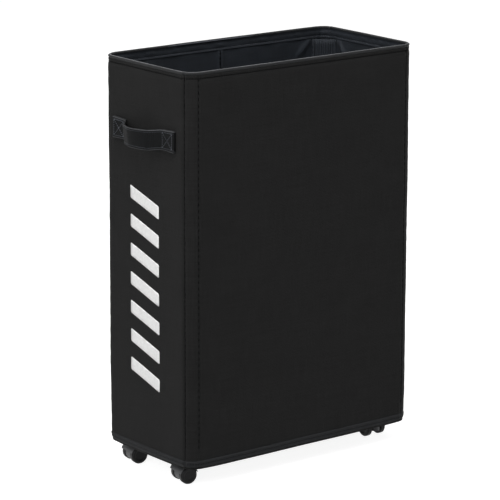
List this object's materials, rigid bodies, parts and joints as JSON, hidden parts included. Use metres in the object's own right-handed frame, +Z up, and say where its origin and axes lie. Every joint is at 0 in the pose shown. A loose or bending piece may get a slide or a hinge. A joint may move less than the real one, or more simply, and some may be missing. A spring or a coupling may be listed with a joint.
{
  "type": "slim rolling laundry hamper",
  "caption": "Slim upright fabric laundry hamper with a wire-stiffened mouth, corner support poles, strap handles and swivelling twin-wheel casters.",
  "frame": {"origin": "on the floor, under the middle of the bag", "axes": "+Z up, X along the long walls with the print end at -X, Y across the narrow ends with the front long wall at -Y"},
  "size_m": [0.4542, 0.2018, 0.584],
  "materials": {
    "outer_cloth": "woven black polyester",
    "lining_cloth": "smooth coated black lining",
    "binding_tape": "woven edge tape",
    "webbing": "woven strap webbing",
    "spring_steel": "drawn spring wire",
    "pole_steel": "black powder coat",
    "plug_plastic": "moulded",
    "board_plastic": "grained sheet",
    "zinc_steel": "bright zinc plate",
    "caster_plastic": "moulded nylon",
    "wheel_plastic": "satin moulded nylon"
  },
  "bodies": {
    "bag": {"front_panel": "outer_cloth", "back_panel": "outer_cloth", "left_panel": "outer_cloth", "right_panel": "outer_cloth", "lining": "lining_cloth", "top_hem": "lining_cloth", "rim_wire": "spring_steel", "bottom_binding": "binding_tape", "bottom_panel": "outer_cloth", "base_board": "board_plastic", "base_nuts": "zinc_steel", "handle_strap_left": "webbing", "handle_strap_right": "webbing", "corner_sleeve_front_left": "lining_cloth", "caster_stem_front_left": "zinc_steel", "caster_ring_front_left": "spring_steel", "corner_sleeve_front_right": "lining_cloth", "caster_stem_front_right": "zinc_steel", "caster_ring_front_right": "spring_steel", "corner_sleeve_back_right": "lining_cloth", "caster_stem_back_right": "zinc_steel", "caster_ring_back_right": "spring_steel", "corner_sleeve_back_left": "lining_cloth", "caster_stem_back_left": "zinc_steel", "caster_ring_back_left": "spring_steel"},
    "pole_front_left": {"corner_pole_front_left": "pole_steel", "pole_plugs_front_left": "plug_plastic"},
    "caster_front_left": {"caster_housing_front_left": "caster_plastic", "caster_axle_front_left": "zinc_steel"},
    "wheel_front_left_1": {"caster_wheel_front_left_1": "wheel_plastic"},
    "wheel_front_left_2": {"caster_wheel_front_left_2": "wheel_plastic"},
    "pole_front_right": {"corner_pole_front_right": "pole_steel", "pole_plugs_front_right": "plug_plastic"},
    "caster_front_right": {"caster_housing_front_right": "caster_plastic", "caster_axle_front_right": "zinc_steel"},
    "wheel_front_right_1": {"caster_wheel_front_right_1": "wheel_plastic"},
    "wheel_front_right_2": {"caster_wheel_front_right_2": "wheel_plastic"},
    "pole_back_right": {"corner_pole_back_right": "pole_steel", "pole_plugs_back_right": "plug_plastic"},
    "caster_back_right": {"caster_housing_back_right": "caster_plastic", "caster_axle_back_right": "zinc_steel"},
    "wheel_back_right_1": {"caster_wheel_back_right_1": "wheel_plastic"},
    "wheel_back_right_2": {"caster_wheel_back_right_2": "wheel_plastic"},
    "pole_back_left": {"corner_pole_back_left": "pole_steel", "pole_plugs_back_left": "plug_plastic"},
    "caster_back_left": {"caster_housing_back_left": "caster_plastic", "caster_axle_back_left": "zinc_steel"},
    "wheel_back_left_1": {"caster_wheel_back_left_1": "wheel_plastic"},
    "wheel_back_left_2": {"caster_wheel_back_left_2": "wheel_plastic"}
  },
  "joints": [
    {"name": "swivel_front_left", "type": "hinge", "parent": "bag", "child": "caster_front_left", "pos_m": [-0.17, -0.058, 0.02], "axis": [0, 0, 1], "continuous": true},
    {"name": "wheel_spin_front_left_1", "type": "hinge", "parent": "caster_front_left", "child": "wheel_front_left_1", "pos_m": [-0.17788, -0.05661, 0.0125], "axis": [0.1736, 0.9848, 0], "continuous": true},
    {"name": "wheel_spin_front_left_2", "type": "hinge", "parent": "caster_front_left", "child": "wheel_front_left_2", "pos_m": [-0.17788, -0.05661, 0.0125], "axis": [0.1736, 0.9848, 0], "continuous": true},
    {"name": "pole_slide_front_left", "type": "slide", "parent": "bag", "child": "pole_front_left", "axis": [0, 0, 1], "range_m": [0, 0.56]},
    {"name": "swivel_front_right", "type": "hinge", "parent": "bag", "child": "caster_front_right", "pos_m": [0.17, -0.058, 0.02], "axis": [0, 0, 1], "continuous": true},
    {"name": "wheel_spin_front_right_1", "type": "hinge", "parent": "caster_front_right", "child": "wheel_front_right_1", "pos_m": [0.17, -0.05, 0.0125], "axis": [1, 0, 0], "continuous": true},
    {"name": "wheel_spin_front_right_2", "type": "hinge", "parent": "caster_front_right", "child": "wheel_front_right_2", "pos_m": [0.17, -0.05, 0.0125], "axis": [1, 0, 0], "continuous": true},
    {"name": "pole_slide_front_right", "type": "slide", "parent": "bag", "child": "pole_front_right", "axis": [0, 0, 1], "range_m": [0, 0.56]},
    {"name": "swivel_back_right", "type": "hinge", "parent": "bag", "child": "caster_back_right", "pos_m": [0.17, 0.058, 0.02], "axis": [0, 0, 1], "continuous": true},
    {"name": "wheel_spin_back_right_1", "type": "hinge", "parent": "caster_back_right", "child": "wheel_back_right_1", "pos_m": [0.17, 0.066, 0.0125], "axis": [1, 0, 0], "continuous": true},
    {"name": "wheel_spin_back_right_2", "type": "hinge", "parent": "caster_back_right", "child": "wheel_back_right_2", "pos_m": [0.17, 0.066, 0.0125], "axis": [1, 0, 0], "continuous": true},
    {"name": "pole_slide_back_right", "type": "slide", "parent": "bag", "child": "pole_back_right", "axis": [0, 0, 1], "range_m": [0, 0.56]},
    {"name": "swivel_back_left", "type": "hinge", "parent": "bag", "child": "caster_back_left", "pos_m": [-0.17, 0.058, 0.02], "axis": [0, 0, 1], "continuous": true},
    {"name": "wheel_spin_back_left_1", "type": "hinge", "parent": "caster_back_left", "child": "wheel_back_left_1", "pos_m": [-0.17788, 0.05939, 0.0125], "axis": [0.1736, 0.9848, 0], "continuous": true},
    {"name": "wheel_spin_back_left_2", "type": "hinge", "parent": "caster_back_left", "child": "wheel_back_left_2", "pos_m": [-0.17788, 0.05939, 0.0125], "axis": [0.1736, 0.9848, 0], "continuous": true},
    {"name": "pole_slide_back_left", "type": "slide", "parent": "bag", "child": "pole_back_left", "axis": [0, 0, 1], "range_m": [0, 0.56]}
  ]
}
